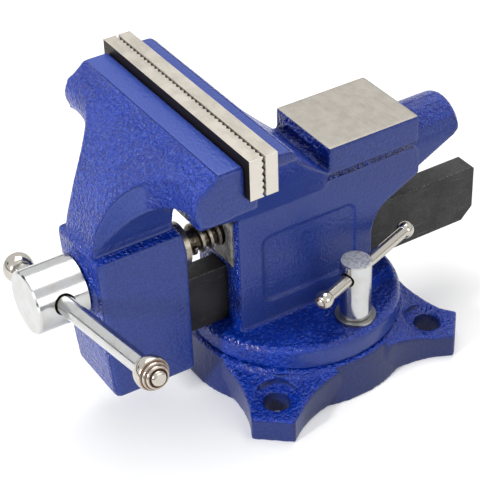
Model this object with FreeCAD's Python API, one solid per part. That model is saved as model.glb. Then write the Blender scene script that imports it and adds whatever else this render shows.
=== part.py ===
# Swivel-base bench vise, jaws closed. Millimetres, +Z up.
# Origin: on the swivel axis, in the plane of the base's underside.
# -Y is the handle end, +Y the horn end, +X the side that carries the swivel lock.
import FreeCAD, Part
import math
import os
from FreeCAD import Vector

# ---------------------------------------------------------------- jaws
JAW_WIDTH = 115.0
PLATE_HEIGHT = 18.0
PLATE_THICKNESS = 6.2
PLATE_TOP_Z = 146.2
PLATE_PROUD_TOP = 4.2
FIXED_INSET = 2.4
MOVING_INSET = 3.2
JAW_FACE_Y = -49.5
JAW_FACE_GAP = 0.3
BLOCK_RELIEF = 0.5
SERRATION_PITCH = 2.95
SERRATION_DEPTH = 0.8
SERRATION_CREST = 0.5
PLATE_SCREW_X = 32.0
PLATE_SCREW_R = 3.0
PLATE_SCREW_HEAD_R = 5.6
PLATE_SCREW_SINK = 1.2
PLATE_SCREW_REACH = 8.0

# ---------------------------------------------------------------- fixed jaw and body
BODY_HALF = 17.5
BODY_FRONT_Y = -38.3
BODY_BACK_Y = 31.2
BODY_TOP_Z = 97.0
FLARE_FOOT_Z = 88.0
FLARE_TOP_Z = 137.0
SKIRT_Z = 91.0
JAW_BACK_Y = -32.6
JAW_BACK_ROUND = 4.0
JAW_BACK_SLOPE_MID = (-17.0, 119.5)
BODY_BACK_ARC = (55.0, (34.3, 64.4))
BODY_UNDER_ANVIL_Y = 56.0
PANEL_DEPTH = 0.9
PANEL_FRONT_MARGIN = 11.8
PANEL_BACK_MARGIN = 9.2
PANEL_FOOT_MARGIN = 10.5
PANEL_HEIGHT = 35.0
PANEL_CORNER_R = 5.0
ANVIL_HALF = 20.75
ANVIL_FRONT_Y = 5.7
ANVIL_BACK_Y = 53.0
ANVIL_TOP_Z = 109.3
ANVIL_LEDGE_DROP = 4.5
ANVIL_FRAME_HALF = 14.0
ANVIL_FRAME_RIM = 2.0
ANVIL_FRAME_MARGIN = 2.8
ANVIL_FRAME_PROUD = 1.0
HORN_R = 14.8
HORN_Z = 86.7
HORN_END_Y = 81.5
HORN_EDGE_R = 3.0
HORN_ROOT_Y = 40.0
GUSSET_FOOT = (42.0, 70.1)
GUSSET_SLOPE = 0.5

# ---------------------------------------------------------------- moving jaw
NECK_HALF = 12.5
LEG_HALF = 18.0
LEG_FRONT_Y = -103.4
LEG_BACK_Y = -62.6
LEG_BOTTOM_Z = 21.0
LEG_TOP_Z = 93.0
LEG_EDGE_R = 3.0
HUB_BOSS_R = 14.6
HUB_BOSS_Y = -105.5
HEAD_BELLY = ((-72.5, 119.8), (-77.7, 126.6), (-76.8, 133.9))
HEAD_BROW_Y = -67.5
CHEEK_UNDERSIDE = ((-74.0, 121.0), (-62.5, 111.0), (-57.5, 99.0))
CHEEK_FOOT_Y = -57.3
NECK_BACK = ((-65.5, 91.0), (-66.0, 107.0), (-60.0, 112.0), (-60.0, 136.0))
NECK_FRONT_MID = (-97.3, 111.8)
NECK_SPREAD_PLAN = (-99.0, (23.0, -85.0), -76.5)
NECK_SPREAD_FRONT = (97.0, (22.0, 113.0), 121.0)
LEG_BACK_CHAMFER = (2.0, 10.0)
LEG_FOOT_RAKE = 2.7

# ---------------------------------------------------------------- slide bar
BAR_HALF = 5.2
BAR_BOTTOM_Z = 29.9
BAR_TOP_Z = 58.2
BAR_BACK_Y = 98.1
BAR_FRONT_Y = -94.0
BAR_SIDE_CLEARANCE = 0.9
BAR_RUN_CLEARANCE = 0.3
BAR_CORNER = 3.0
SET_SCREW_R = 4.0
SET_SCREW_PITCH = 18.0

# ---------------------------------------------------------------- main screw
SCREW_Z = 74.4
SCREW_R = 6.8
THREAD_PITCH = 4.0
THREAD_DEPTH = 1.5
JOURNAL_R = 7.6
RUNNING_CLEARANCE = 0.08
JAW_TRAVEL = 76.0
NUT_LENGTH = 20.0
NUT_HALF = 12.5
NUT_PIN_R = 2.0
POCKET_CLEARANCE = 0.1
TAIL_BORE_R = 8.6
COLLAR_R = 10.0
COLLAR_LENGTH = 6.0
COLLAR_GAP = 0.3
COLLAR_PIN_R = 1.5
HEAD_R = 13.8
HEAD_LENGTH = 23.0
HEAD_GAP = 0.3
SPIGOT_R = 6.5
SPIGOT_LENGTH = 6.5

# ---------------------------------------------------------------- handles
HANDLE_R = 4.0
HANDLE_HOLE_CLEARANCE = 0.3
HANDLE_TILT = 12.3
HANDLE_NEAR = 88.0
HANDLE_FAR = -33.7
HANDLE_KNOB_R = 6.9
LOCK_HANDLE_R = 2.8
LOCK_HANDLE_TILT = -69.4
LOCK_HANDLE_NEAR = 23.5
LOCK_HANDLE_FAR = -39.2
LOCK_HANDLE_Z = 53.0
LOCK_KNOB_R = 4.1

# ---------------------------------------------------------------- swivel base and lock
BASE_FOOT_R = 53.7
BASE_TOP_R = 49.8
BASE_HEIGHT = 18.7
CAVITY_R = 47.0
CAVITY_TOP_Z = 11.0
LUG_COUNT = 4
LUG_ANGLE = 49.7
LUG_HEIGHT = 11.84
LUG_END_R = 74.0
LUG_END_HALF = 9.5
BOLT_CIRCLE_R = 60.9
BOLT_HOLE_R = 5.85
SPOT_FACE_R = 10.0
LUG_ROOT_Z = 17.0
LUG_ROOT = (45.0, 26.0)
LUG_WAIST = (60.0, 14.0)
LUG_SLOPE_RUN = 4.0
TURRET_R = 48.4
TURRET_TOP_Z = 29.5
TURRET_EDGE_R = 3.5
SEAM_CHAMFER = 0.8
PIVOT_R = 6.0
PIVOT_HEAD_FLATS = 19.0
PIVOT_HEAD_HEIGHT = 7.0
PIVOT_WASHER_R = 14.0
PIVOT_WASHER_THICKNESS = 2.0
PIVOT_ENGAGEMENT = 9.6
LOCK_X = 35.5
LOCK_Y = 9.3
LOCK_HEAD_R = 7.0
LOCK_HEAD_TOP_Z = 60.0
LOCK_SHANK_R = 5.0
LOCK_HOLE_CLEARANCE = 0.06
LOCK_WASHER_R = 9.1
LOCK_WASHER_THICKNESS = 1.6
SLOT_CLEARANCE = 0.5
SWIVEL_HALF_RANGE = 120.0
SHOE_RADIAL_HALF = 9.0
SHOE_HALF_ANGLE = 14.0
SHOE_THICKNESS = 7.0
SHOE_GAP = 0.3

X = Vector(1, 0, 0)
Y = Vector(0, 1, 0)
Z = Vector(0, 0, 1)

BLOCK_TOP_Z = PLATE_TOP_Z - PLATE_PROUD_TOP
PLATE_BOTTOM_Z = PLATE_TOP_Z - PLATE_HEIGHT
FIXED_HALF = JAW_WIDTH / 2 - FIXED_INSET
MOVING_HALF = JAW_WIDTH / 2 - MOVING_INSET
REAR_FACE_Y = JAW_FACE_Y + JAW_FACE_GAP / 2
FRONT_FACE_Y = JAW_FACE_Y - JAW_FACE_GAP / 2
REAR_SEAT_Y = REAR_FACE_Y + PLATE_THICKNESS
FRONT_SEAT_Y = FRONT_FACE_Y - PLATE_THICKNESS
NUT_BACK_Y = BODY_FRONT_Y + NUT_LENGTH
SCREW_TAIL_Y = NUT_BACK_Y + JAW_TRAVEL + THREAD_PITCH
HEAD_BACK_Y = HUB_BOSS_Y - HEAD_GAP
HEAD_FRONT_Y = HEAD_BACK_Y - HEAD_LENGTH
HANDLE_Y = HEAD_BACK_Y - HEAD_LENGTH / 2
COLLAR_FRONT_Y = LEG_BACK_Y + COLLAR_GAP
COLLAR_BACK_Y = COLLAR_FRONT_Y + COLLAR_LENGTH
LOCK_CIRCLE_R = math.hypot(LOCK_X, LOCK_Y)
LOCK_ANGLE = math.degrees(math.atan2(LOCK_Y, LOCK_X))
SHOE_TOP_Z = CAVITY_TOP_Z - SHOE_GAP


# ---------------------------------------------------------------- drawing helpers
def side(p):
    return Vector(0, p[0], p[1])


def front(p):
    return Vector(p[0], 0, p[1])


def plan(p):
    return Vector(p[0], p[1], 0)


def outline(place, start, *steps):
    """Face inside a closed outline: a step of one point is a straight edge, of two an arc."""
    edges = []
    here = start
    closing = () if steps[-1][-1] == start else ((start,),)
    for step in steps + closing:
        a = place(here)
        b = place(step[-1])
        if len(step) == 2:
            edges.append(Part.Arc(a, place(step[0]), b).toShape())
        else:
            edges.append(Part.makeLine(a, b))
        here = step[-1]
    return Part.Face(Part.Wire(edges))


def across(face, half):
    """Side outline made a prism that is symmetrical about the middle plane."""
    slab = face.copy()
    slab.translate(Vector(-half, 0, 0))
    return slab.extrude(Vector(2 * half, 0, 0))


def box(x0, x1, y0, y1, z0, z1):
    return Part.makeBox(x1 - x0, y1 - y0, z1 - z0, Vector(x0, y0, z0))


def rod_y(radius, y0, y1, x=0.0, z=SCREW_Z):
    return Part.makeCylinder(radius, y1 - y0, Vector(x, y0, z), Y)


def rod_z(radius, z0, z1, x=0.0, y=0.0):
    return Part.makeCylinder(radius, z1 - z0, Vector(x, y, z0), Z)


def cone_y(r0, r1, y0, y1, x, z):
    return Part.makeCone(r0, r1, abs(y1 - y0), Vector(x, y0, z), Y if y1 > y0 else -Y)


def spin(shape, angle, axis=Z, centre=Vector(0, 0, 0)):
    turned = shape.copy()
    turned.rotate(centre, axis, angle)
    return turned


def edges_where(shape, test):
    return [edge for edge in shape.Edges if test(edge)]


def both(make):
    """The same piece on the two sides of the middle plane, as one group."""
    return Part.makeCompound([make(-1), make(1)])


# ---------------------------------------------------------------- swivel base
def lug():
    """One bolting ear, pointing along +X: concave sides, a sloped root and a spot face round the hole."""
    root, waist = LUG_ROOT, LUG_WAIST
    slope_end = BOLT_CIRCLE_R + LUG_SLOPE_RUN
    ear = outline(plan, (LUG_END_R, -LUG_END_HALF), ((LUG_END_R, LUG_END_HALF),),
                  (waist, root), ((root[0], -root[1]),),
                  ((waist[0], -waist[1]), (LUG_END_R, -LUG_END_HALF)))
    pad = ear.extrude(Vector(0, 0, LUG_HEIGHT))
    slope = outline(front, (root[0], 0), ((slope_end, 0),), ((slope_end, LUG_HEIGHT),),
                    ((root[0], LUG_ROOT_Z),))
    slope.translate(Vector(0, -root[1], 0))
    wedge = slope.extrude(Vector(0, 2 * root[1], 0)).common(ear.extrude(Vector(0, 0, LUG_ROOT_Z)))
    body = pad.fuse(wedge)
    body = body.cut(rod_z(SPOT_FACE_R, LUG_HEIGHT, LUG_ROOT_Z, BOLT_CIRCLE_R))
    return body


def swivel_slot(half, z0, z1):
    """Round-ended arc slot that the lock bolt's shank travels in."""
    ring = rod_z(LOCK_CIRCLE_R + half, z0, z1).cut(rod_z(LOCK_CIRCLE_R - half, z0 - 1, z1 + 1))
    keep = 180.0 - SWIVEL_HALF_RANGE
    reach = 2 * LOCK_CIRCLE_R
    a = math.radians(keep)
    gate = outline(plan, (0, 0), ((-reach * math.cos(a), reach * math.sin(a)),), ((-reach * 1.5, 0),),
                   ((-reach * math.cos(a), -reach * math.sin(a)),))
    blocker = gate.extrude(Vector(0, 0, z1 - z0 + 2))
    blocker.translate(Vector(0, 0, z0 - 1))
    slot = ring.cut(blocker)
    for side_sign in (-1, 1):
        end = math.radians(side_sign * SWIVEL_HALF_RANGE)
        slot = slot.fuse(rod_z(half, z0, z1, LOCK_CIRCLE_R * math.cos(end), LOCK_CIRCLE_R * math.sin(end)))
    return spin(slot, LOCK_ANGLE)


def swivel_base():
    casting = Part.makeCone(BASE_FOOT_R, BASE_TOP_R, BASE_HEIGHT)
    for n in range(LUG_COUNT):
        casting = casting.fuse(spin(lug(), LUG_ANGLE + n * 360.0 / LUG_COUNT))
    casting = casting.cut(rod_z(CAVITY_R, -1, CAVITY_TOP_Z))
    casting = casting.cut(rod_z(PIVOT_R + RUNNING_CLEARANCE, -1, BASE_HEIGHT + 1))
    casting = casting.cut(swivel_slot(LOCK_SHANK_R + SLOT_CLEARANCE, 0, BASE_HEIGHT + 1))
    for n in range(LUG_COUNT):
        a = math.radians(LUG_ANGLE + n * 360.0 / LUG_COUNT)
        x, y = BOLT_CIRCLE_R * math.cos(a), BOLT_CIRCLE_R * math.sin(a)
        casting = casting.cut(rod_z(BOLT_HOLE_R, -1, LUG_ROOT_Z + 1, x, y))
    return casting.removeSplitter()


# ---------------------------------------------------------------- fixed jaw and body
def flare(half_top, y0, y1):
    """Front outline shared by both jaws: body width at the foot, curving out to the jaw width."""
    waist = (BODY_HALF + 0.31 * (half_top - BODY_HALF), (FLARE_FOOT_Z + FLARE_TOP_Z) / 2 - 1)
    foot = SCREW_Z - 5
    face = outline(front, (-BODY_HALF, foot), ((BODY_HALF, foot),), ((BODY_HALF, FLARE_FOOT_Z),),
                   (waist, (half_top, FLARE_TOP_Z)), ((half_top, BLOCK_TOP_Z + 1),),
                   ((-half_top, BLOCK_TOP_Z + 1),), ((-half_top, FLARE_TOP_Z),),
                   ((-waist[0], waist[1]), (-BODY_HALF, FLARE_FOOT_Z)))
    face.translate(Vector(0, y0, 0))
    return face.extrude(Vector(0, y1 - y0, 0))


def fixed_jaw():
    seat_y = REAR_FACE_Y + BLOCK_RELIEF
    bulge = JAW_BACK_ROUND * (1 - math.sqrt(0.5))
    profile = outline(side, (seat_y, SKIRT_Z), ((seat_y, PLATE_BOTTOM_Z),), ((REAR_SEAT_Y, PLATE_BOTTOM_Z),),
                      ((REAR_SEAT_Y, BLOCK_TOP_Z),), ((JAW_BACK_Y - JAW_BACK_ROUND, BLOCK_TOP_Z),),
                      ((JAW_BACK_Y - bulge, BLOCK_TOP_Z - bulge), (JAW_BACK_Y, BLOCK_TOP_Z - JAW_BACK_ROUND)),
                      (JAW_BACK_SLOPE_MID, (ANVIL_FRONT_Y, BODY_TOP_Z + 1)), ((ANVIL_FRONT_Y, SCREW_Z),),
                      ((BODY_FRONT_Y, SCREW_Z),), ((BODY_FRONT_Y, SKIRT_Z - 2),))
    return across(profile, FIXED_HALF).common(flare(FIXED_HALF, seat_y, ANVIL_FRONT_Y))


def gusset_z(y):
    return GUSSET_FOOT[1] + GUSSET_SLOPE * (y - GUSSET_FOOT[0])


def body_block():
    back = BODY_UNDER_ANVIL_Y
    arc_foot, arc_mid = BODY_BACK_ARC
    profile = outline(side, (BODY_FRONT_Y, TURRET_TOP_Z - 1), ((BODY_BACK_Y, TURRET_TOP_Z - 1),),
                      ((BODY_BACK_Y, arc_foot),), (arc_mid, GUSSET_FOOT), ((back, gusset_z(back)),),
                      ((back, HORN_Z),), ((ANVIL_BACK_Y, BODY_TOP_Z),), ((BODY_FRONT_Y, BODY_TOP_Z),))
    return across(profile, BODY_HALF)


def horn():
    root = HORN_ROOT_Y
    low = gusset_z(root) - 1
    arch = outline(front, (-HORN_R, low), ((HORN_R, low),), ((HORN_R, HORN_Z),),
                   ((0, HORN_Z + HORN_R), (-HORN_R, HORN_Z)))
    arch.translate(Vector(0, root, 0))
    bar = arch.extrude(Vector(0, HORN_END_Y - root, 0))
    above = outline(side, (root, gusset_z(root)), ((HORN_END_Y, gusset_z(HORN_END_Y)),),
                    ((HORN_END_Y, ANVIL_TOP_Z),), ((root, ANVIL_TOP_Z),))
    bar = bar.common(across(above, ANVIL_HALF))
    rim = edges_where(bar, lambda e: min(v.Y for v in e.Vertexes) > HORN_END_Y - 0.01)
    return bar.makeFillet(HORN_EDGE_R, rim)


def anvil():
    """Flat-topped pad, a little wider than the body, with a raised frame on its front face."""
    pad = box(-ANVIL_HALF, ANVIL_HALF, ANVIL_FRONT_Y, ANVIL_BACK_Y, BODY_TOP_Z - 0.5, ANVIL_TOP_Z)
    skirt_z = BODY_TOP_Z - 0.5
    foot_z = skirt_z - ANVIL_LEDGE_DROP
    skirt = outline(front, (-BODY_HALF, foot_z), ((BODY_HALF, foot_z),), ((ANVIL_HALF, skirt_z),),
                    ((-ANVIL_HALF, skirt_z),))
    skirt.translate(Vector(0, ANVIL_FRONT_Y, 0))
    block = pad.fuse(skirt.extrude(Vector(0, ANVIL_BACK_Y - ANVIL_FRONT_Y, 0)))
    half, rim, proud = ANVIL_FRAME_HALF, ANVIL_FRAME_RIM, ANVIL_FRAME_PROUD
    low, high = BODY_TOP_Z + 2.5, ANVIL_TOP_Z - ANVIL_FRAME_MARGIN
    frame = box(-half, half, ANVIL_FRONT_Y - proud, ANVIL_FRONT_Y + proud, low, high)
    frame = frame.cut(box(rim - half, half - rim, ANVIL_FRONT_Y - 2 * proud, ANVIL_FRONT_Y,
                          low + 0.75 * rim, high - 0.75 * rim))
    return block.fuse(frame)


def turret_disc():
    disc = rod_z(TURRET_R, BASE_HEIGHT, TURRET_TOP_Z)
    top = edges_where(disc, lambda e: e.Vertexes[0].Z > TURRET_TOP_Z - 0.01 and len(e.Vertexes) == 1)
    disc = disc.makeFillet(TURRET_EDGE_R, top)
    foot = edges_where(disc, lambda e: e.Vertexes[0].Z < BASE_HEIGHT + 0.01 and len(e.Vertexes) == 1)
    return disc.makeChamfer(SEAM_CHAMFER, foot)


def side_panel(sign):
    """Shallow recessed panel with rounded corners in the body's side; it is left blank."""
    floor_x, open_x = sign * (BODY_HALF - PANEL_DEPTH), sign * (BODY_HALF + 1)
    foot = TURRET_TOP_Z + PANEL_FOOT_MARGIN
    panel = box(min(floor_x, open_x), max(floor_x, open_x), BODY_FRONT_Y + PANEL_FRONT_MARGIN,
                BODY_BACK_Y - PANEL_BACK_MARGIN, foot, foot + PANEL_HEIGHT)
    corners = edges_where(panel, lambda e: abs(e.Vertexes[0].X - e.Vertexes[-1].X) > 0.5)
    return panel.makeFillet(PANEL_CORNER_R, corners)


def plate_screw_holes(y_seat, direction):
    holes = [rod_y(PLATE_SCREW_R, min(y_seat, y_seat + direction * (PLATE_SCREW_REACH + 1)),
                   max(y_seat, y_seat + direction * (PLATE_SCREW_REACH + 1)), s * PLATE_SCREW_X,
                   PLATE_TOP_Z - PLATE_HEIGHT / 2) for s in (-1, 1)]
    return Part.makeCompound(holes)


def fixed_jaw_body():
    casting = turret_disc().fuse([body_block(), fixed_jaw(), anvil(), horn()])
    for sign in (-1, 1):
        casting = casting.cut(side_panel(sign))
    slot_half = BAR_HALF + BAR_SIDE_CLEARANCE
    casting = casting.cut(box(-slot_half, slot_half, BODY_FRONT_Y - 12, BODY_BACK_Y + 20,
                              TURRET_TOP_Z, BAR_TOP_Z + BAR_RUN_CLEARANCE))
    pocket = NUT_HALF + POCKET_CLEARANCE
    casting = casting.cut(box(-pocket, pocket, BODY_FRONT_Y - 1, NUT_BACK_Y,
                              SCREW_Z - pocket, SCREW_Z + pocket))
    casting = casting.cut(rod_y(TAIL_BORE_R, NUT_BACK_Y - 1, SCREW_TAIL_Y + 4))
    casting = casting.cut(rod_z(NUT_PIN_R, BAR_TOP_Z - 1, SCREW_Z, 0, BODY_FRONT_Y + NUT_LENGTH / 2))
    casting = casting.cut(rod_z(PIVOT_R, BASE_HEIGHT - 1, BASE_HEIGHT + PIVOT_ENGAGEMENT))
    casting = casting.cut(rod_z(LOCK_SHANK_R + LOCK_HOLE_CLEARANCE, BASE_HEIGHT - 1, TURRET_TOP_Z + 1,
                                LOCK_X, LOCK_Y))
    return casting.cut(plate_screw_holes(REAR_SEAT_Y, 1)).removeSplitter()


# ---------------------------------------------------------------- jaw plates
def jaw_plate(face_y, away, phase):
    """Hardened plate; two crossed sets of V-grooves leave points on its gripping face."""
    back_y = face_y + away * PLATE_THICKNESS
    half = JAW_WIDTH / 2
    plate = box(-half, half, min(face_y, back_y), max(face_y, back_y), PLATE_BOTTOM_Z, PLATE_TOP_Z)
    d, w = SERRATION_DEPTH, SERRATION_PITCH - SERRATION_CREST
    tools = []
    count = round(JAW_WIDTH / SERRATION_PITCH)
    for n in range(count + 1):
        x = -half + (n + phase) * JAW_WIDTH / count
        groove = outline(plan, (x - w / 2, face_y - away * 0.01), ((x + w / 2, face_y - away * 0.01),),
                         ((x, face_y + away * d),))
        groove.translate(Vector(0, 0, PLATE_BOTTOM_Z - 1))
        tools.append(groove.extrude(Vector(0, 0, PLATE_HEIGHT + 2)))
    rows = round(PLATE_HEIGHT / SERRATION_PITCH)
    for n in range(rows + 1):
        z = PLATE_BOTTOM_Z + (n + phase) * PLATE_HEIGHT / rows
        groove = outline(side, (face_y - away * 0.01, z - w / 2), ((face_y - away * 0.01, z + w / 2),),
                         ((face_y + away * d, z),))
        tools.append(across(groove, half + 1))
    plate = plate.cut(Part.makeCompound(tools))
    mid_z = PLATE_TOP_Z - PLATE_HEIGHT / 2
    for sign in (-1, 1):
        plate = plate.cut(rod_y(PLATE_SCREW_R, min(face_y, back_y) - 1, max(face_y, back_y) + 1,
                                sign * PLATE_SCREW_X, mid_z))
        plate = plate.cut(screw_head_cone(face_y, away, sign))
    return plate


def screw_head_cone(face_y, away, sign):
    """Countersink of one plate screw, from the gripping face inwards."""
    mid_z = PLATE_TOP_Z - PLATE_HEIGHT / 2
    top = face_y + away * PLATE_SCREW_SINK
    depth = PLATE_SCREW_HEAD_R - PLATE_SCREW_R
    x = sign * PLATE_SCREW_X
    cone = cone_y(PLATE_SCREW_HEAD_R, PLATE_SCREW_R, top, top + away * depth, x, mid_z)
    mouth = rod_y(PLATE_SCREW_HEAD_R, min(face_y - away, top), max(face_y - away, top), x, mid_z)
    return cone.fuse(mouth)


def plate_screws(face_y, away):
    def screw(sign):
        mid_z = PLATE_TOP_Z - PLATE_HEIGHT / 2
        x = sign * PLATE_SCREW_X
        top = face_y + away * PLATE_SCREW_SINK
        depth = PLATE_SCREW_HEAD_R - PLATE_SCREW_R
        tip = face_y + away * (PLATE_THICKNESS + PLATE_SCREW_REACH)
        head = cone_y(PLATE_SCREW_HEAD_R, PLATE_SCREW_R, top, top + away * depth, x, mid_z)
        neck = top + away * (depth - 0.01)
        shank = rod_y(PLATE_SCREW_R, min(neck, tip), max(neck, tip), x, mid_z)
        socket = rod_y(PLATE_SCREW_R * 0.6, min(top, top + away * 1.6), max(top, top + away * 1.6), x, mid_z)
        return head.fuse(shank).cut(socket).removeSplitter()
    return both(screw)


# ---------------------------------------------------------------- moving jaw
def jaw_head():
    """Full-width bar behind the front plate, with a rounded belly."""
    seat_y = FRONT_FACE_Y - BLOCK_RELIEF
    low, mid, high = HEAD_BELLY
    profile = outline(side, (seat_y, low[1] + 1.2), (low,), (mid, high),
                      ((HEAD_BROW_Y, BLOCK_TOP_Z),), ((FRONT_SEAT_Y, BLOCK_TOP_Z),),
                      ((FRONT_SEAT_Y, PLATE_BOTTOM_Z),), ((seat_y, PLATE_BOTTOM_Z),))
    return across(profile, MOVING_HALF)


def jaw_cheek():
    """Skirt under the head that faces the fixed jaw and narrows with the same flare."""
    seat_y = FRONT_FACE_Y - BLOCK_RELIEF
    outer, mid, inner = CHEEK_UNDERSIDE
    profile = outline(side, (seat_y, SKIRT_Z), ((seat_y, PLATE_BOTTOM_Z),), ((outer[0], PLATE_BOTTOM_Z),),
                      (outer,), (mid, inner), ((CHEEK_FOOT_Y, SKIRT_Z),))
    return across(profile, MOVING_HALF).common(flare(MOVING_HALF, outer[0] - 6, seat_y))


def jaw_neck():
    """C-shaped neck: narrow where it leaves the leg, widening both upwards and backwards into the head."""
    root, lower, upper, top = NECK_BACK
    profile = outline(side, root, (lower,), (upper,), (top,), ((HEAD_BELLY[0][0] - 1.5, top[1] + 1),),
                      (NECK_FRONT_MID, (LEG_FRONT_Y - 0.2, LEG_TOP_Z - 6)),
                      ((LEG_FRONT_Y - 0.2, LEG_TOP_Z - 8),), ((root[0], LEG_TOP_Z - 8),))
    half, wide = NECK_HALF, MOVING_HALF
    before, behind = HUB_BOSS_Y - 5, -55.0
    start, (mid_x, mid_y), end = NECK_SPREAD_PLAN
    from_above = outline(plan, (-half, before), ((half, before),), ((half, start),),
                         ((mid_x, mid_y), (wide, end)), ((wide, behind),), ((-wide, behind),),
                         ((-wide, end),), ((-mid_x, mid_y), (-half, start)))
    below, above = LEG_TOP_Z - 13, BLOCK_TOP_Z - 2
    start, (mid_x, mid_z), end = NECK_SPREAD_FRONT
    from_front = outline(front, (-half, below), ((half, below),), ((half, start),),
                         ((mid_x, mid_z), (wide, end)), ((wide, above),), ((-wide, above),),
                         ((-wide, end),), ((-mid_x, mid_z), (-half, start)))
    from_front.translate(Vector(0, before, 0))
    neck = across(profile, wide)
    neck = neck.common(from_above.extrude(Vector(0, 0, PLATE_TOP_Z)))
    return neck.common(from_front.extrude(Vector(0, behind - before + 15, 0)))


def jaw_leg():
    chamfer_y, chamfer_z = LEG_BACK_CHAMFER
    profile = outline(side, (LEG_FRONT_Y + LEG_FOOT_RAKE, LEG_BOTTOM_Z + 1.2),
                      ((LEG_FRONT_Y + 0.6, (BAR_BOTTOM_Z + BAR_TOP_Z) / 2),), ((LEG_FRONT_Y, SCREW_Z),),
                      ((LEG_FRONT_Y - 0.9, LEG_TOP_Z),), ((LEG_BACK_Y - chamfer_y, LEG_TOP_Z),),
                      ((LEG_BACK_Y, LEG_TOP_Z - chamfer_z),), ((LEG_BACK_Y, LEG_BOTTOM_Z),))
    leg = across(profile, LEG_HALF)
    corners = edges_where(leg, lambda e: max(v.Y for v in e.Vertexes) < LEG_FRONT_Y + 4
                          and abs(e.Vertexes[0].X - e.Vertexes[-1].X) < 0.01)
    return leg.makeFillet(LEG_EDGE_R, corners)


def set_screw_ys():
    middle = (BAR_FRONT_Y + LEG_BACK_Y) / 2
    return (middle - SET_SCREW_PITCH / 2, middle + SET_SCREW_PITCH / 2)


def moving_jaw_casting():
    boss = rod_y(HUB_BOSS_R, HUB_BOSS_Y, LEG_FRONT_Y + 4)
    casting = jaw_head().fuse([jaw_cheek(), jaw_neck(), jaw_leg(), boss])
    casting = casting.cut(rod_y(JOURNAL_R + RUNNING_CLEARANCE, HUB_BOSS_Y - 1, LEG_BACK_Y + 1))
    casting = casting.cut(box(-BAR_HALF, BAR_HALF, BAR_FRONT_Y, LEG_BACK_Y + 1, BAR_BOTTOM_Z, BAR_TOP_Z))
    for y in set_screw_ys():
        casting = casting.cut(rod_z(SET_SCREW_R, LEG_BOTTOM_Z - 1, BAR_BOTTOM_Z + 1, 0, y))
    return casting.cut(plate_screw_holes(FRONT_SEAT_Y, -1)).removeSplitter()


# ---------------------------------------------------------------- slide bar
def slide_bar():
    profile = outline(side, (BAR_FRONT_Y, BAR_BOTTOM_Z), ((BAR_BACK_Y - 2 * BAR_CORNER, BAR_BOTTOM_Z),),
                      ((BAR_BACK_Y, BAR_BOTTOM_Z + 2 * BAR_CORNER),), ((BAR_BACK_Y, BAR_TOP_Z - 1),),
                      ((BAR_BACK_Y - 1, BAR_TOP_Z),), ((BAR_FRONT_Y, BAR_TOP_Z),))
    return across(profile, BAR_HALF)


def bar_set_screws():
    screws = []
    for y in set_screw_ys():
        screw = rod_z(SET_SCREW_R, LEG_BOTTOM_Z + 1.5, BAR_BOTTOM_Z, 0, y)
        screws.append(screw.cut(rod_z(SET_SCREW_R / 2, LEG_BOTTOM_Z, LEG_BOTTOM_Z + 4.5, 0, y)))
    return Part.makeCompound(screws)


# ---------------------------------------------------------------- main screw
def thread(radius, depth, pitch, y0, y1):
    """Core and one helical ridge of trapezoidal section along +Y, as a single solid."""
    core_r = radius - depth
    length = y1 - y0
    turns = int((length - 2 * pitch) / pitch)
    helix = Part.makeHelix(pitch, turns * pitch, core_r)
    foot, crest, sink = pitch * 0.33, pitch * 0.16, 0.25
    tooth = Part.Face(Part.makePolygon([Vector(core_r - sink, 0, -foot), Vector(core_r - sink, 0, foot),
                                        Vector(radius, 0, crest), Vector(radius, 0, -crest),
                                        Vector(core_r - sink, 0, -foot)]))
    ridge = Part.Wire(helix.Edges).makePipeShell([tooth.OuterWire], True, True)
    core = Part.makeCylinder(core_r, length, Vector(0, 0, -pitch))
    screw = core.fuse(ridge)
    screw.rotate(Vector(0, 0, 0), X, -90)
    screw.translate(Vector(0, y0 + pitch, SCREW_Z))
    return screw


def main_screw():
    journal = rod_y(JOURNAL_R, HEAD_BACK_Y, COLLAR_BACK_Y)
    spigot = rod_y(SPIGOT_R, HEAD_BACK_Y - SPIGOT_LENGTH, HEAD_BACK_Y)
    screw = thread(SCREW_R, THREAD_DEPTH, THREAD_PITCH, COLLAR_BACK_Y, SCREW_TAIL_Y)
    screw = screw.fuse([journal, spigot])
    mid = (COLLAR_FRONT_Y + COLLAR_BACK_Y) / 2
    return screw.cut(rod_z(COLLAR_PIN_R, SCREW_Z - COLLAR_R - 1, SCREW_Z + COLLAR_R + 1, 0, mid))


def thrust_collar():
    ring = rod_y(COLLAR_R, COLLAR_FRONT_Y, COLLAR_BACK_Y)
    ring = ring.cut(rod_y(JOURNAL_R, COLLAR_FRONT_Y - 1, COLLAR_BACK_Y + 1))
    mid = (COLLAR_FRONT_Y + COLLAR_BACK_Y) / 2
    return ring.cut(rod_z(COLLAR_PIN_R, SCREW_Z - COLLAR_R - 1, SCREW_Z + COLLAR_R + 1, 0, mid))


def collar_pin():
    mid = (COLLAR_FRONT_Y + COLLAR_BACK_Y) / 2
    return rod_z(COLLAR_PIN_R, SCREW_Z - COLLAR_R + 0.3, SCREW_Z + COLLAR_R - 0.3, 0, mid)


def screw_nut():
    block = box(-NUT_HALF, NUT_HALF, BODY_FRONT_Y, NUT_BACK_Y, SCREW_Z - NUT_HALF, SCREW_Z + NUT_HALF)
    block = block.cut(rod_y(SCREW_R + RUNNING_CLEARANCE, BODY_FRONT_Y - 1, NUT_BACK_Y + 1))
    pin_y = BODY_FRONT_Y + NUT_LENGTH / 2
    return block.cut(rod_z(NUT_PIN_R, SCREW_Z - NUT_HALF - 1, SCREW_Z - SCREW_R - 0.6, 0, pin_y))


def nut_pin():
    return rod_z(NUT_PIN_R, BAR_TOP_Z + BAR_RUN_CLEARANCE + 0.3, SCREW_Z - SCREW_R - 0.8, 0,
                 BODY_FRONT_Y + NUT_LENGTH / 2)


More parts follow.
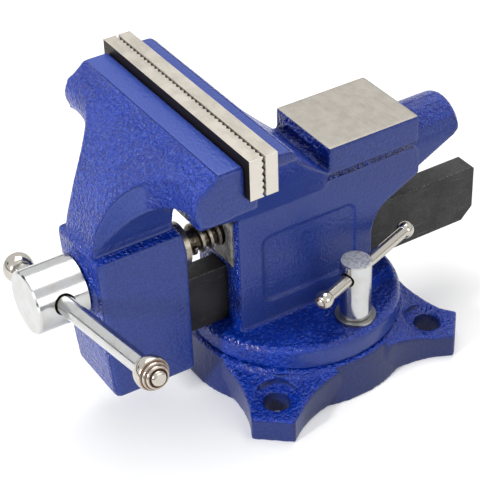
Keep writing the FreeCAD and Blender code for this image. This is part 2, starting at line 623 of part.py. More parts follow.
def tilted(s, y=HANDLE_Y):
    """Point at distance s along the main handle's axis from the screw's axis."""
    a = math.radians(HANDLE_TILT)
    return Vector(s * math.cos(a), y, SCREW_Z + s * math.sin(a))


def screw_head():
    """Turned head of the screw, cross-drilled for the handle."""
    head = rod_y(HEAD_R, HEAD_FRONT_Y, HEAD_BACK_Y)
    rim = edges_where(head, lambda e: len(e.Vertexes) == 1 and e.Vertexes[0].Y < HEAD_FRONT_Y + 0.01)
    head = head.makeFillet(1.2, rim)
    head = head.cut(rod_y(SPIGOT_R, HEAD_BACK_Y - SPIGOT_LENGTH, HEAD_BACK_Y + 1))
    drill = Part.makeCylinder(HANDLE_R + HANDLE_HOLE_CLEARANCE, 4 * HEAD_R, tilted(-2 * HEAD_R),
                              tilted(1) - tilted(0))
    return head.cut(drill)


# ---------------------------------------------------------------- handles
def rod_between(a, b, radius):
    return Part.makeCylinder(radius, (b - a).Length, a, b - a)


def turned_knob(centre, outwards, radius, rod_r):
    """Ball end turned with two grooves, drilled for the rod, its outer face peened flat."""
    half = 0.82 * radius
    ring = 0.2 * radius
    waist = 0.15 * half
    knob = outline(front, (rod_r, -half), ((0.78 * radius, -half),),
                   ((radius, -0.35 * half), (0.93 * radius, waist)), ((0.84 * radius, waist + ring / 2),),
                   ((0.88 * radius, waist + ring),), ((0.82 * radius, 0.75 * half), (0.66 * radius, half)),
                   ((rod_r, half),)).revolve(Vector(0, 0, 0), Z, 360)
    knob.Placement = FreeCAD.Placement(centre, FreeCAD.Rotation(Z, outwards))
    return knob


def handle_rod(near, far, radius, knob_r):
    axis = (near - far).normalize()
    end = 0.9 * knob_r
    return rod_between(far - axis * end, near + axis * end, radius)


def lock_point(s):
    a = math.radians(LOCK_HANDLE_TILT)
    return Vector(LOCK_X + s * math.cos(a), LOCK_Y + s * math.sin(a), LOCK_HANDLE_Z)


# ---------------------------------------------------------------- swivel pivot and lock
def pivot_bolt():
    head_top = CAVITY_TOP_Z - PIVOT_WASHER_THICKNESS
    corner = PIVOT_HEAD_FLATS / math.sqrt(3)
    points = [Vector(corner * math.cos(math.radians(60 * n)), corner * math.sin(math.radians(60 * n)),
                     head_top - PIVOT_HEAD_HEIGHT) for n in range(7)]
    head = Part.Face(Part.makePolygon(points)).extrude(Vector(0, 0, PIVOT_HEAD_HEIGHT))
    return head.fuse(rod_z(PIVOT_R, head_top, BASE_HEIGHT + PIVOT_ENGAGEMENT)).removeSplitter()


def pivot_washer():
    low = CAVITY_TOP_Z - PIVOT_WASHER_THICKNESS
    return rod_z(PIVOT_WASHER_R, low, CAVITY_TOP_Z).cut(rod_z(PIVOT_R, low - 1, CAVITY_TOP_Z + 1))


def lock_bolt():
    foot = TURRET_TOP_Z + LOCK_WASHER_THICKNESS
    head = rod_z(LOCK_HEAD_R, foot, LOCK_HEAD_TOP_Z, LOCK_X, LOCK_Y)
    rim = edges_where(head, lambda e: len(e.Vertexes) == 1 and e.Vertexes[0].Z > LOCK_HEAD_TOP_Z - 0.01)
    head = head.makeFillet(0.8, rim)
    shank = rod_z(LOCK_SHANK_R, SHOE_TOP_Z - SHOE_THICKNESS - 1, foot, LOCK_X, LOCK_Y)
    drill = rod_between(lock_point(-2 * LOCK_HEAD_R), lock_point(2 * LOCK_HEAD_R),
                        LOCK_HANDLE_R + HANDLE_HOLE_CLEARANCE)
    return head.fuse(shank).cut(drill).removeSplitter()


def lock_washer():
    low = TURRET_TOP_Z
    high = low + LOCK_WASHER_THICKNESS
    hole = rod_z(LOCK_SHANK_R + LOCK_HOLE_CLEARANCE, low - 1, high + 1, LOCK_X, LOCK_Y)
    return rod_z(LOCK_WASHER_R, low, high, LOCK_X, LOCK_Y).cut(hole)


def lock_shoe():
    """Curved nut under the base's top that the lock bolt pulls up."""
    low = SHOE_TOP_Z - SHOE_THICKNESS
    ring = rod_z(LOCK_CIRCLE_R + SHOE_RADIAL_HALF, low, SHOE_TOP_Z)
    ring = ring.cut(rod_z(LOCK_CIRCLE_R - SHOE_RADIAL_HALF, low - 1, SHOE_TOP_Z + 1))
    a = math.radians(SHOE_HALF_ANGLE)
    reach = 2 * LOCK_CIRCLE_R
    sector = outline(plan, (0, 0), ((reach * math.cos(a), -reach * math.sin(a)),),
                     ((reach * math.cos(a), reach * math.sin(a)),))
    shoe = spin(ring.common(sector.extrude(Vector(0, 0, CAVITY_TOP_Z))), LOCK_ANGLE)
    return shoe.cut(rod_z(LOCK_SHANK_R + LOCK_HOLE_CLEARANCE, low - 1, SHOE_TOP_Z + 1, LOCK_X, LOCK_Y))


# ---------------------------------------------------------------- the assembly
HANDLE_AXIS = tilted(1) - tilted(0)
LOCK_AXIS = lock_point(1) - lock_point(0)

PIECES = {
    "swivel_base": swivel_base,
    "pivot_bolt": pivot_bolt,
    "pivot_washer": pivot_washer,
    "fixed_jaw_body": fixed_jaw_body,
    "rear_jaw_plate": lambda: jaw_plate(REAR_FACE_Y, 1, 0.0),
    "rear_plate_screws": lambda: plate_screws(REAR_FACE_Y, 1),
    "screw_nut": screw_nut,
    "nut_pin": nut_pin,
    "lock_washer": lock_washer,
    "lock_shoe": lock_shoe,
    "lock_bolt": lock_bolt,
    "lock_handle_rod": lambda: handle_rod(lock_point(LOCK_HANDLE_NEAR), lock_point(LOCK_HANDLE_FAR),
                                          LOCK_HANDLE_R, LOCK_KNOB_R),
    "lock_knob_near": lambda: turned_knob(lock_point(LOCK_HANDLE_NEAR), LOCK_AXIS, LOCK_KNOB_R,
                                          LOCK_HANDLE_R),
    "lock_knob_far": lambda: turned_knob(lock_point(LOCK_HANDLE_FAR), -LOCK_AXIS, LOCK_KNOB_R, LOCK_HANDLE_R),
    "moving_jaw_casting": moving_jaw_casting,
    "front_jaw_plate": lambda: jaw_plate(FRONT_FACE_Y, -1, 0.5),
    "front_plate_screws": lambda: plate_screws(FRONT_FACE_Y, -1),
    "slide_bar": slide_bar,
    "bar_set_screws": bar_set_screws,
    "main_screw": main_screw,
    "screw_head": screw_head,
    "thrust_collar": thrust_collar,
    "collar_pin": collar_pin,
    "handle_rod": lambda: handle_rod(tilted(HANDLE_NEAR), tilted(HANDLE_FAR), HANDLE_R, HANDLE_KNOB_R),
    "handle_knob_near": lambda: turned_knob(tilted(HANDLE_NEAR), HANDLE_AXIS, HANDLE_KNOB_R, HANDLE_R),
    "handle_knob_far": lambda: turned_knob(tilted(HANDLE_FAR), -HANDLE_AXIS, HANDLE_KNOB_R, HANDLE_R),
}

os.makedirs("parts", exist_ok=True)
for name, make in PIECES.items():
    shape = make()
    shape.exportStep("parts/" + name + ".step")
    box_of = shape.BoundBox
    print(name, len(shape.Solids), "solid(s), valid", shape.isValid(), "volume", round(shape.Volume),
          "x", round(box_of.XMin, 1), round(box_of.XMax, 1), "y", round(box_of.YMin, 1), round(box_of.YMax, 1),
          "z", round(box_of.ZMin, 1), round(box_of.ZMax, 1))
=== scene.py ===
# %% [markdown]
# # A bench vise on a swivel base
#
# The real vise is two iron castings and a cast base, sprayed blue, with bright
# plated controls, ground steel jaw plates and a black slide bar. The shapes
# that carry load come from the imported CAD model. This lesson gives them their
# finishes, rounds the castings the way a foundry does, turns the handle ends,
# and sets up a small studio round them.
#
# We start by loading the fixed frame. Every piece of it already lies where it
# belongs, in metres, so nothing below has to be fitted by eye.

# %% Load the frame
import math

import bmesh
import bpy
import numpy as np
from mathutils import Matrix, Vector
from mathutils.bvhtree import BVHTree


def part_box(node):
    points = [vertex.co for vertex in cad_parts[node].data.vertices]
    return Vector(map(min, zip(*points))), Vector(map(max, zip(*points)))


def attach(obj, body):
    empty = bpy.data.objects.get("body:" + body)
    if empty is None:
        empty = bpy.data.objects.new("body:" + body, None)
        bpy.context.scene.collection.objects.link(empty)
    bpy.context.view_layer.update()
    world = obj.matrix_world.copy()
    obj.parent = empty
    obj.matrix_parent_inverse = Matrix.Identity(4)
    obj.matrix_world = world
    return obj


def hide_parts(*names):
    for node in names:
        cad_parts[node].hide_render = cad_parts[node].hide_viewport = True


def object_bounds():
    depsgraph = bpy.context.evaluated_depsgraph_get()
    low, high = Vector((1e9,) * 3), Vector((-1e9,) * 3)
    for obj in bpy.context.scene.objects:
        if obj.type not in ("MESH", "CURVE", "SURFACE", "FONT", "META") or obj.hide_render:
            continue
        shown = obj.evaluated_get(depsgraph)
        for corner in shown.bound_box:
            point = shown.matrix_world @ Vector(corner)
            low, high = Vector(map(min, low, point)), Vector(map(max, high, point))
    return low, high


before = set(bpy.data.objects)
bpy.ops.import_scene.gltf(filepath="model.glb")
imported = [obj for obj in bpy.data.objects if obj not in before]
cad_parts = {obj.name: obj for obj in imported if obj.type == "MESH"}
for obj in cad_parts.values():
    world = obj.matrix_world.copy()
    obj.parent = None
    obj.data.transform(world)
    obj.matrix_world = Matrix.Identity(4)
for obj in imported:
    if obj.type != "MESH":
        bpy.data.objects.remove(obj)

cad_low, cad_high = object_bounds()
MM = 0.001
print("the vise is", [round(1000 * (b - a)) for a, b in zip(cad_low, cad_high)], "mm")

# %% [markdown]
# ## The camera
#
# A product picture of a vise is taken from above the bench, over the handle
# end and the lock side, with a long lens so that the jaws stay square. We
# could aim the camera with a constraint, but three directions written out as
# the columns of a matrix are exact and leave nothing to solve.

# %% Camera
camera = bpy.data.objects.new("camera", bpy.data.cameras.new("camera"))
camera.data.sensor_width = 36.0
camera.data.lens = 121.96
camera.data.clip_end = 20.0
to_right = Vector((0.53059, 0.84699, -0.03254))
to_top = Vector((-0.48349, 0.33397, 0.80912))
ahead = Vector((-0.69621, 0.41359, -0.58672))
turn = Matrix((to_right, to_top, -ahead)).transposed()
camera.matrix_world = Matrix.Translation((0.49084, -0.31858, 0.47779)) @ turn.to_4x4()
bpy.context.scene.collection.objects.link(camera)
bpy.context.scene.camera = camera
bpy.context.scene.view_settings.view_transform = "Standard"
print("camera height", round(camera.matrix_world.translation.z, 3), "m")

# %% [markdown]
# ## Small tools for finishes
#
# A finish is a graph of nodes, and writing one out takes several lines a node.
# Three helpers keep the later cells short: one starts a finish, one adds a
# node and one sets its inputs. An input is either a number that we type or
# the output of an earlier node.


# %% Start a finish and wire it
def new_finish(name):
    """An empty finish with its shader, and the two coordinates that stay on the piece."""
    finish = bpy.data.materials.new(name)
    finish.use_nodes = True
    shader = finish.node_tree.nodes["Principled BSDF"]
    where = finish.node_tree.nodes.new("ShaderNodeTexCoord")
    return finish, shader, where.outputs["Object"], where.outputs["Normal"]


def feed(finish, node, sockets):
    """Sets or wires the inputs of a node."""
    for key, value in sockets.items():
        if isinstance(value, bpy.types.NodeSocket):
            finish.node_tree.links.new(value, node.inputs[key])
        else:
            node.inputs[key].default_value = value


def add(finish, kind, sockets, out=0, **settings):
    """Adds one node to a finish and gives back one of its outputs."""
    node = finish.node_tree.nodes.new("ShaderNode" + kind)
    for key, value in settings.items():
        setattr(node, key, value)
    feed(finish, node, sockets)
    return node.outputs[out]


print("a finish starts with a Principled shader")

# %% [markdown]
# ## Masks, grain and relief
#
# Wear, dirt and polish are all made from the same few parts: noise of a known
# size, a mask that turns a range of values into 0 to 1, a blend of two colours
# by that mask, and bumps of a known depth. Sizes are in metres on the piece,
# so a pebble of one millimetre is the same on every casting.


# %% Masks, grain and relief
def mask(finish, value, low, high, at_low=0.0, at_high=1.0):
    """at_low below low, at_high above high, and a soft step between."""
    return add(finish, "MapRange", {"Value": value, "From Min": low, "From Max": high,
                                    "To Min": at_low, "To Max": at_high},
               interpolation_type="SMOOTHSTEP")


def maths(finish, operation, a, b=0.5):
    return add(finish, "Math", {0: a, 1: b}, operation=operation)


def opposite(finish, value):
    return maths(finish, "SUBTRACT", 1.0, value)


def grain(finish, place, size, detail=2.0, stretch=(1, 1, 1)):
    """Noise with lumps about size metres across, longer along any axis with a small stretch."""
    spread = add(finish, "Mapping", {"Vector": place, "Scale": stretch})
    return add(finish, "TexNoise", {"Vector": spread, "Scale": 1 / size, "Detail": detail,
                                    "Roughness": 0.55})


def blend_colours(finish, amount, one, two):
    return add(finish, "Mix", {0: amount, 6: one, 7: two}, 2, data_type="RGBA")


def relief(finish, height, depth, normal=None, strength=1.0):
    """Bump of a given depth in metres, laid over an earlier one."""
    sockets = {"Height": height, "Distance": depth, "Strength": strength}
    if normal is not None:
        sockets["Normal"] = normal
    return add(finish, "Bump", sockets)


def srgb(red, green, blue):
    """Screen colour, 0 to 255, as the linear colour that a shader wants."""
    return tuple(((c / 255 + 0.055) / 1.055) ** 2.4 if c > 10 else c / 255 / 12.92
                 for c in (red, green, blue)) + (1.0,)


print("royal blue is", [round(c, 3) for c in srgb(24, 44, 150)])

# %% [markdown]
# ## Which faces are smooth
#
# The castings come out of sand, so their skin is pebbled. The two cut sides of
# each casting, and its ground tops, are flat before painting, and there the
# enamel lies nearly smooth. We could split each casting into pieces with one
# material each, but the line between cast and ground would then be a hard cut.
# A surface's own direction and height tell one from the other, so masks do
# the work and fade into each other as on a real casting.

# %% Heights where the finish changes
ANVIL_OVER = 109 * MM      # upward faces over this height are bare steel
JAW_TOPS_OVER = 138 * MM   # tops over this height are ground before painting
UNDERCUT_Z = 94.2 * MM     # middle of the cast slope under the anvil's sides
UNDERCUT_HALF = 2.4 * MM
TURRET_Z = (32 * MM, 40 * MM)   # the turned turret's pebbles fade in between these
print("bare steel over", round(1000 * ANVIL_OVER), "mm")


# %% Masks for ground and cast faces
def bare_steel_mask(finish, place, spots, parts, over):
    """1 on upward faces just over a height, with the ragged rim that a grinding wheel leaves."""
    wander = maths(finish, "MULTIPLY", grain(finish, place, 1.3 * MM), 0.5 * MM)
    ragged = maths(finish, "ADD", wander, spots.outputs["Z"])
    bare = maths(finish, "MULTIPLY", mask(finish, ragged, over + 0.1 * MM, over + 0.22 * MM),
                 mask(finish, spots.outputs["Z"], over + 2 * MM, over + 3 * MM, 1.0, 0.0))
    return maths(finish, "MULTIPLY", bare, mask(finish, parts.outputs["Z"], 0.75, 0.9))


def undercut_mask(finish, spots, parts):
    """1 on the slope under the anvil's long sides, which the wheel can't reach."""
    offset = maths(finish, "ABSOLUTE", maths(finish, "SUBTRACT", spots.outputs["Z"], UNDERCUT_Z))
    leaning = maths(finish, "MULTIPLY", mask(finish, parts.outputs["Z"], -0.30, -0.15, 1.0, 0.0),
                    mask(finish, offset, UNDERCUT_HALF, UNDERCUT_HALF + 0.6 * MM, 1.0, 0.0))
    return maths(finish, "MULTIPLY", leaning, mask(finish, spots.outputs["Y"], 5 * MM, 7 * MM))


def ground_sides(finish, parts, side_from, smooth_walls):
    """1 on faces that look along X, and smooth_walls on any other upright wall."""
    side = mask(finish, maths(finish, "ABSOLUTE", parts.outputs["X"]), side_from, side_from + 0.16)
    if smooth_walls:
        upright = mask(finish, maths(finish, "ABSOLUTE", parts.outputs["Z"]), 0.25, 0.45,
                       smooth_walls, 0.0)
        side = maths(finish, "MAXIMUM", side, upright)
    return side


def ground_tops(finish, parts, spots, over):
    """1 on level faces over a height."""
    return maths(finish, "MULTIPLY", mask(finish, parts.outputs["Z"], 0.93, 0.99),
                 mask(finish, spots.outputs["Z"], over, over + MM))


print("four masks ready")

# %% [markdown]
# ## Cast skin, painted highlights on edges and painted shade in holes
#
# Paint over sand-cast iron has three sizes of relief: long waves, pebbles of
# about a millimetre and a fine speckle. Bump nodes add them one on another,
# which keeps the mesh light. Paint pools between the pebbles, where it looks
# deeper. Crests and edges are painted paler, partly for thinner paint and wear
# and partly as a painted highlight. Pointiness finds the edges, and ambient
# occlusion finds the holes and corners that the sky hardly reaches, which take
# painted shade.


# %% Layers of enamel
def pebbled(finish, place, height, speckle):
    """Pebbles of a given height, with a fine speckle and long waves added."""
    normal = relief(finish, height, 3.2 * MM)
    normal = relief(finish, speckle, 0.07 * MM, normal)
    return relief(finish, grain(finish, place, 9 * MM, 1.0), 0.25 * MM, normal, 0.5)


def cast_blue(finish, pebbles, drift):
    """Deep and pale blue in slow drifts, darker between the pebbles, and paler on top of them:
    thinner paint and a painted highlight.
    """
    colour = blend_colours(finish, mask(finish, drift, 0.35, 0.65, 0.15, 0.85),
                           srgb(0, 38, 132), srgb(3, 52, 164))
    colour = blend_colours(finish, mask(finish, pebbles, 0.30, 0.46, 0.5, 0.0),
                           colour, srgb(0, 22, 92))
    # pebble crests painted paler: a painted highlight standing in for glints, over thinner paint
    return blend_colours(finish, mask(finish, pebbles, 0.56, 0.72, 0.0, 0.34),
                         colour, srgb(74, 116, 218))


def wear_highlight_and_shade(finish, colour, speckle):
    """Paler on edges, partly wear and partly a painted highlight, and painted shade, nearly black,
    in holes and corners.
    """
    edge = add(finish, "NewGeometry", {}, "Pointiness")
    # pale edges: partly wear, partly a painted highlight along them
    wear_and_highlight = maths(finish, "MULTIPLY", mask(finish, edge, 0.54, 0.62, 0.0, 0.35),
                 mask(finish, speckle, 0.35, 0.6))
    colour = blend_colours(finish, wear_and_highlight, colour, srgb(104, 118, 205))
    # painted shade: nearly black where ambient occlusion finds little open sky
    open_sky = add(finish, "AmbientOcclusion", {"Distance": 7 * MM}, "AO",
                   samples=6, only_local=True)
    hollow_shade = mask(finish, open_sky, 0.25, 0.62, 0.85, 0.0)
    return blend_colours(finish, hollow_shade, colour, srgb(6, 10, 44))


def anvil_steel(finish, place, bare, colour, roughness):
    """Lays ground steel over the enamel where bare is 1."""
    lines = grain(finish, place, 0.5 * MM, 3.0, (0.06, 1, 1))
    stain = grain(finish, place, 5 * MM, 3.0)
    ground = blend_colours(finish, mask(finish, stain, 0.35, 0.65), srgb(160, 155, 146),
                           srgb(151, 146, 137))
    ground = blend_colours(finish, mask(finish, lines, 0.35, 0.7, 0.0, 0.3), ground,
                           srgb(182, 177, 169))
    scratched = mask(finish, lines, 0.3, 0.7, 0.42, 0.58)
    return (blend_colours(finish, bare, colour, ground),
            add(finish, "Mix", {0: bare, 2: roughness, 3: scratched}))


print("enamel layers ready")

# %% [markdown]
# ## Blue enamel
#
# The three castings share one recipe with small changes. The base has shallower
# pebbles and smoother, darker walls. On the moving jaw, faces that lean
# farther from X still count as ground sides. The fixed jaw's casting has the
# bare anvil. A clear coat with the same bumps carries the gloss, so each
# pebble glints on its own, and the paler crests add painted highlights.
# Ground tops are paler, partly painted light from above, and the slope under
# the anvil takes painted shade.


# %% Blue enamel
def blue_enamel(name, ground_over=None, smooth_over=None, smooth_walls=0.0, pebble=1.0,
                side_from=0.74, side_tones=(srgb(31, 49, 119), srgb(43, 65, 141))):
    """ground_over: height over which upward faces are bare ground steel. smooth_over: height of
    ground tops. smooth_walls: how smooth the upright walls are, from 0 to 1. pebble: depth of the
    pebbling. side_from: how squarely a face must look along X to count as a ground side."""
    finish, shader, place, facing = new_finish(name)
    parts = add(finish, "SeparateXYZ", {0: facing}).node
    spots = add(finish, "SeparateXYZ", {0: place}).node
    pebbles = grain(finish, place, 1.5 * MM, 1.5)
    drift = grain(finish, place, 22 * MM, 2.0)
    speckle = grain(finish, place, 0.7 * MM, 1.0)

    side = ground_sides(finish, parts, side_from, smooth_walls)
    if ground_over is not None:
        undercut = undercut_mask(finish, spots, parts)
        side = maths(finish, "MULTIPLY", side, opposite(finish, undercut))
    smooth = side
    if smooth_over is not None:
        top = ground_tops(finish, parts, spots, smooth_over)
        smooth = maths(finish, "MAXIMUM", side, top)

    share = mask(finish, smooth, 0.0, 1.0, 1.0, 0.10)
    if ground_over is not None:
        bare = bare_steel_mask(finish, place, spots, parts, ground_over)
        share = maths(finish, "MULTIPLY", share, mask(finish, bare, 0.0, 1.0, 1.0, 0.02))
        share = maths(finish, "MULTIPLY", share,
                      mask(finish, spots.outputs["Z"], *TURRET_Z, 0.4, 1.0))
    depth = mask(finish, drift, 0.3, 0.7, 0.55 * pebble, pebble)
    height = maths(finish, "MULTIPLY", maths(finish, "MULTIPLY", pebbles, depth), share)
    normal = pebbled(finish, place, height, speckle)

    sides = blend_colours(finish, mask(finish, speckle, 0.35, 0.65), *side_tones)
    colour = blend_colours(finish, side, cast_blue(finish, pebbles, drift), sides)
    if smooth_over is not None:
        # ground tops painted paler blue: a smoother finish, and partly painted light from above
        colour = blend_colours(finish, top, colour, srgb(44, 68, 152))
    if ground_over is not None:
        # painted shade under the anvil's sides, dark between the pebbles
        shade_under_anvil = maths(finish, "MULTIPLY", undercut, mask(finish, pebbles, 0.6, 0.45))
        colour = blend_colours(finish, shade_under_anvil, colour, srgb(8, 14, 52))
    colour = wear_highlight_and_shade(finish, colour, speckle)
    roughness = maths(finish, "ADD", mask(finish, speckle, 0.3, 0.7, 0.22, 0.34),
                      maths(finish, "MULTIPLY", smooth, 0.14))
    coat = mask(finish, smooth, 0.0, 1.0, 0.42, 0.35)

    if ground_over is not None:
        colour, roughness = anvil_steel(finish, place, bare, colour, roughness)
        coat = maths(finish, "MULTIPLY", coat, opposite(finish, bare))
        feed(finish, shader, {"Metallic": maths(finish, "MULTIPLY", bare, 0.75)})
    feed(finish, shader, {"Base Color": colour, "Roughness": roughness, "Normal": normal,
                          "Coat Weight": coat, "Coat Normal": normal, "Coat Roughness": 0.09,
                          "Specular IOR Level": 0.2})
    return finish


enamel = blue_enamel("blue_enamel", smooth_over=JAW_TOPS_OVER, side_from=0.50)
enamel_base = blue_enamel("blue_enamel_on_base", smooth_walls=0.8, pebble=0.6,
                          side_tones=(srgb(22, 34, 84), srgb(34, 48, 104)))
enamel_body = blue_enamel("blue_enamel_with_ground_anvil", ANVIL_OVER, JAW_TOPS_OVER)
print("enamels:", enamel.name, enamel_base.name, enamel_body.name)

# %% [markdown]
# ## Corners of the metal pieces
#
# Five metals are left: plating, ground steel, rolled black skin, oily steel and
# raw iron. The ground plates and the black bar rub bright at their corners. We
# could cut a real bevel on every piece, but a bevel node does the same without
# touching the mesh: where the surface that it rounds differs from the flat
# one, there is an edge.


# %% Corner mask
def corner_mask(finish, radius):
    """1 on the corners of a piece and 0 on its flats, and the rounded normal with it."""
    rounded = add(finish, "Bevel", {"Radius": radius})
    flat = add(finish, "NewGeometry", {}, "Normal")
    match = add(finish, "VectorMath", {0: rounded, 1: flat}, "Value", operation="DOT_PRODUCT")
    return mask(finish, match, 0.84, 0.98, 1.0, 0.0), rounded


print("corner mask ready")

# %% [markdown]
# ## Bright plating
#
# Nickel or zinc on turned steel is almost a mirror, hazy in places and with
# fine polishing lines round or along the bar. The top of the lock bolt is left
# as it was cut, so it is duller. On the handles' ends, dirt stays in the rings
# that the lathe cut. Those rings carry a value called grime, written into the
# mesh later, and the finish browns where it is high.


# %% Bright plating
def bright_plating(name, stretch, tone=(194, 195, 196), dull_top=0.0, groove=0.0,
                   rounded_edges=False):
    """stretch: which way the polishing lines run. dull_top: extra roughness of upward ends.
    groove: how brown the grooves are. rounded_edges: shade the corners as if they were rounded."""
    finish, shader, place, facing = new_finish(name)
    polish = grain(finish, place, 0.35 * MM, 3.0, stretch)
    haze = grain(finish, place, 7 * MM, 2.0)
    rounded = corner_mask(finish, 0.35 * MM)[1] if rounded_edges else None
    tint = blend_colours(finish, mask(finish, haze, 0.4, 0.7, 0.0, 0.5), srgb(*tone),
                         srgb(180, 178, 172))
    rough = maths(finish, "ADD", mask(finish, haze, 0.35, 0.7, 0.13, 0.20),
                  mask(finish, polish, 0.4, 0.7, 0.0, 0.06))
    if dull_top:
        upward = mask(finish, add(finish, "SeparateXYZ", {0: facing}, "Z"), 0.9, 0.97)
        rough = maths(finish, "ADD", rough, maths(finish, "MULTIPLY", upward, dull_top))
        scuff = maths(finish, "MULTIPLY", upward,
                      mask(finish, grain(finish, place, 1.1 * MM, 3.0), 0.4, 0.65))
        tint = blend_colours(finish, scuff, tint, srgb(150, 152, 160))
    if groove:
        grime = add(finish, "Attribute", {}, "Fac", attribute_name="grime")
        dirt = maths(finish, "MULTIPLY", grime, mask(finish, haze, 0.3, 0.7, 0.7 * groove, groove))
        tint = blend_colours(finish, dirt, tint, srgb(104, 70, 44))
        rough = maths(finish, "ADD", rough, maths(finish, "MULTIPLY", dirt, 0.25))
    feed(finish, shader, {"Base Color": tint, "Metallic": 1.0, "Roughness": rough,
                          "Normal": relief(finish, polish, 0.006 * MM, rounded)})
    return finish


plating = bright_plating("bright_plating", (0.2, 1, 0.2))
plating_lock = bright_plating("bright_plating_lock", (0.3, 0.3, 1.5), dull_top=0.38)
plating_warm = bright_plating("bright_plating_worn", (0.3, 0.3, 0.3), (186, 181, 172), groove=1.0)
plating_grey = bright_plating("zinc_washer_plating", (1, 1, 1), (150, 149, 142), dull_top=0.25,
                              rounded_edges=True)
print("platings:", plating.name, plating_lock.name, plating_warm.name, plating_grey.name)

# %% [markdown]
# ## Ground steel plates
#
# The jaw plates are ground on a wheel that runs along X, so their scratches are
# long that way. The plates' ends are paler. Their gripping faces look along Y
# at each other, where little light and some dirt get in. Every face along Y is
# painted dark: partly painted shade, partly dirt and the darker unground steel
# of the plates' backs.


# %% Ground steel
def ground_steel(name, stretch):
    finish, shader, place, facing = new_finish(name)
    lines = grain(finish, place, 0.45 * MM, 3.0, stretch)
    stain = grain(finish, place, 9 * MM, 3.0)
    corner, rounded = corner_mask(finish, 0.5 * MM)
    tone = blend_colours(finish, mask(finish, stain, 0.35, 0.65), srgb(176, 170, 160),
                         srgb(158, 152, 142))
    tone = blend_colours(finish, mask(finish, lines, 0.35, 0.7, 0.0, 0.4), tone,
                         srgb(196, 191, 182))
    tone = blend_colours(finish, corner, tone, srgb(216, 211, 202))
    parts = add(finish, "SeparateXYZ", {0: facing}).node
    ends = mask(finish, maths(finish, "ABSOLUTE", parts.outputs["X"]), 0.8, 0.92, 0.0, 0.75)
    tone = blend_colours(finish, ends, tone, srgb(222, 217, 208))
    across = maths(finish, "ABSOLUTE", parts.outputs["Y"])
    # faces along Y painted dark: partly painted shade, partly dirt and unground steel
    tone = blend_colours(finish, mask(finish, across, 0.80, 0.92), tone, srgb(40, 33, 28))
    feed(finish, shader, {"Base Color": tone, "Metallic": 0.75,
                          "Roughness": mask(finish, lines, 0.3, 0.7, 0.40, 0.56),
                          "Normal": relief(finish, lines, 0.02 * MM, rounded)})
    return finish


steel = ground_steel("ground_steel_plates", (0.05, 1, 0.4))
print("plates take", steel.name)

# %% [markdown]
# ## Rolled black skin
#
# The slide bar is hot-rolled, and the mill leaves a matt black scale on it. Each
# time the jaw moves, the bar drags through the body, which leaves faint grey
# lines along Y and bare metal on the four long corners. The rub shows only
# where the scale was high, so one grain drives both the relief and the wear.


# %% Rolled black skin
def black_skin(name):
    finish, shader, place, _ = new_finish(name)
    scale = grain(finish, place, 1.2 * MM, 3.0)
    cloud = grain(finish, place, 14 * MM, 3.0)
    drag = grain(finish, place, 0.6 * MM, 2.0, (1, 0.05, 1))
    corner, rounded = corner_mask(finish, 0.8 * MM)
    tone = blend_colours(finish, mask(finish, cloud, 0.35, 0.65), srgb(24, 24, 26),
                         srgb(44, 43, 43))
    dragged = maths(finish, "MULTIPLY", mask(finish, drag, 0.60, 0.74), 0.35)
    tone = blend_colours(finish, dragged, tone, srgb(96, 95, 93))
    rub = maths(finish, "MULTIPLY", corner, mask(finish, scale, 0.42, 0.60))
    tone = blend_colours(finish, rub, tone, srgb(138, 135, 130))
    feed(finish, shader, {"Base Color": tone, "Metallic": 0.25,
                          "Roughness": mask(finish, scale, 0.3, 0.7, 0.42, 0.62),
                          "Normal": relief(finish, scale, 0.12 * MM, rounded)})
    return finish


black = black_skin("rolled_black_skin")
print("bar takes", black.name)

# %% [markdown]
# ## Oily thread
#
# A used screw is dark in the root of its thread, where oil holds dust, and
# bright on the crests that rub in the nut. How far a spot lies from the
# screw's axis tells root from crest, so the mask is that distance. It needs
# no paint by hand and fits any thread on this axis.

# %% Oily thread
SCREW_Z = sum(corner.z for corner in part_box("main_screw")) / 2   # height of the screw's axis
SCREW_CORE = 5.3 * MM


def oily_steel(name, core, axis_z):
    """core: the radius under the thread. axis_z: the height of the screw's axis."""
    finish, shader, place, _ = new_finish(name)
    spots = add(finish, "SeparateXYZ", {0: place}).node
    up = maths(finish, "SUBTRACT", spots.outputs["Z"], axis_z)
    reach = maths(finish, "SQRT", maths(
        finish, "ADD", maths(finish, "MULTIPLY", spots.outputs["X"], spots.outputs["X"]),
        maths(finish, "MULTIPLY", up, up)))
    crest = mask(finish, reach, core + 0.5 * MM, core + 1.4 * MM)
    grime = grain(finish, place, 1.6 * MM, 3.0)
    oil = maths(finish, "MULTIPLY", opposite(finish, crest),
                mask(finish, grime, 0.25, 0.6, 0.55, 1.0))
    tone = blend_colours(finish, oil, srgb(150, 142, 128), srgb(52, 43, 32))
    tone = blend_colours(finish, mask(finish, grime, 0.55, 0.75, 0.0, 0.5), tone, srgb(96, 84, 66))
    feed(finish, shader, {"Base Color": tone, "Metallic": 0.85,
                          "Roughness": mask(finish, grime, 0.3, 0.7, 0.24, 0.44),
                          "Normal": relief(finish, grime, 0.08 * MM)})
    return finish


oily = oily_steel("oily_thread_steel", SCREW_CORE, SCREW_Z)
print("screw axis at", round(1000 * SCREW_Z, 2), "mm")

# %% [markdown]
# ## Raw iron
#
# The nut, its pin and the lock shoe sit inside the castings, and nobody paints
# them. They keep the grey, blotchy skin of the sand mould.


